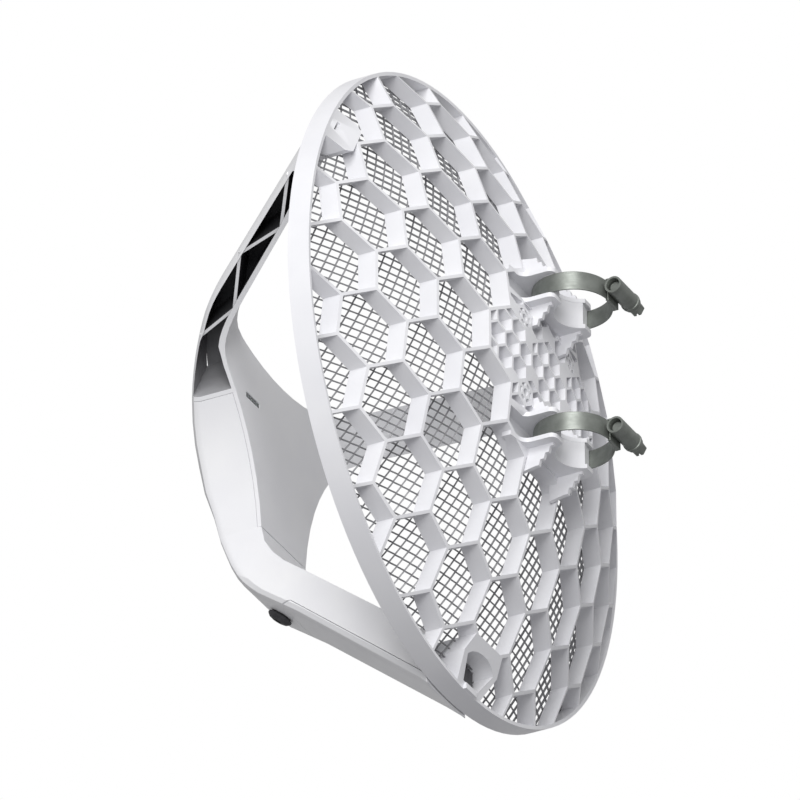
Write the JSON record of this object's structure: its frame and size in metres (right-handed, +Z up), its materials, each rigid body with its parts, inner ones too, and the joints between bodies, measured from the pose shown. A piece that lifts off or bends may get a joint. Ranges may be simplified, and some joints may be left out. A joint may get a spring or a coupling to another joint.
{
  "type": "grid dish antenna with radio head",
  "caption": "Compact outdoor grid dish with a honeycomb frame, wire mesh reflector, three-armed radio head and worm-drive mast clamps.",
  "frame": {"origin": "on the mast's axis, midway between the two clamp bands", "axes": "+Z up along the mast, the dish looks along -Y, +X to the left as seen from behind the dish"},
  "size_m": [0.391, 0.2667, 0.3911],
  "materials": {
    "white_plastic": "satin, lightly textured, moulded",
    "wire_mesh": "galvanised wire",
    "clamp_steel": "satin zinc plated",
    "gland_rubber": "matt",
    "green_laminate": "solder mask",
    "tinned_steel": "bright tin plate",
    "black_plastic": "moulded",
    "clear_plastic": "polished",
    "screw_steel": "zinc plated"
  },
  "bodies": {
    "dish": {"dish_frame": "white_plastic", "reflector_mesh": "wire_mesh", "clamp_band_upper": "clamp_steel", "clamp_band_lower": "clamp_steel", "worm_housing_upper": "clamp_steel", "worm_housing_lower": "clamp_steel", "head_base": "white_plastic", "head_shell": "white_plastic", "cable_gland": "gland_rubber", "circuit_board": "green_laminate", "patch_feed": "tinned_steel", "feed_spacer": "white_plastic", "shield_can_large": "tinned_steel", "shield_can_small": "tinned_steel", "network_jack": "black_plastic", "reset_switch": "black_plastic", "light_pipe": "clear_plastic", "board_screw_1": "screw_steel", "board_screw_2": "screw_steel", "board_screw_3": "screw_steel"},
    "screw_upper": {"worm_screw_upper": "clamp_steel"},
    "screw_lower": {"worm_screw_lower": "clamp_steel"},
    "cover": {"leg_cover": "white_plastic"},
    "button": {"reset_button": "white_plastic"}
  },
  "joints": [
    {"name": "screw_upper_turn", "type": "hinge", "parent": "dish", "child": "screw_upper", "pos_m": [0.006, 0.0228, 0.047], "axis": [-1, 0, 0], "continuous": true},
    {"name": "screw_lower_turn", "type": "hinge", "parent": "dish", "child": "screw_lower", "pos_m": [0.006, 0.0228, -0.047], "axis": [-1, 0, 0], "continuous": true},
    {"name": "cover_pull", "type": "slide", "parent": "dish", "child": "cover", "axis": [0, -0.6331, -0.7741], "range_m": [0, 0.014]},
    {"name": "button_press", "type": "slide", "parent": "dish", "child": "button", "axis": [0, 0, 1], "range_m": [0, 0.0008], "stiffness_N_per_m": 300, "springref_m": -0.0003}
  ]
}
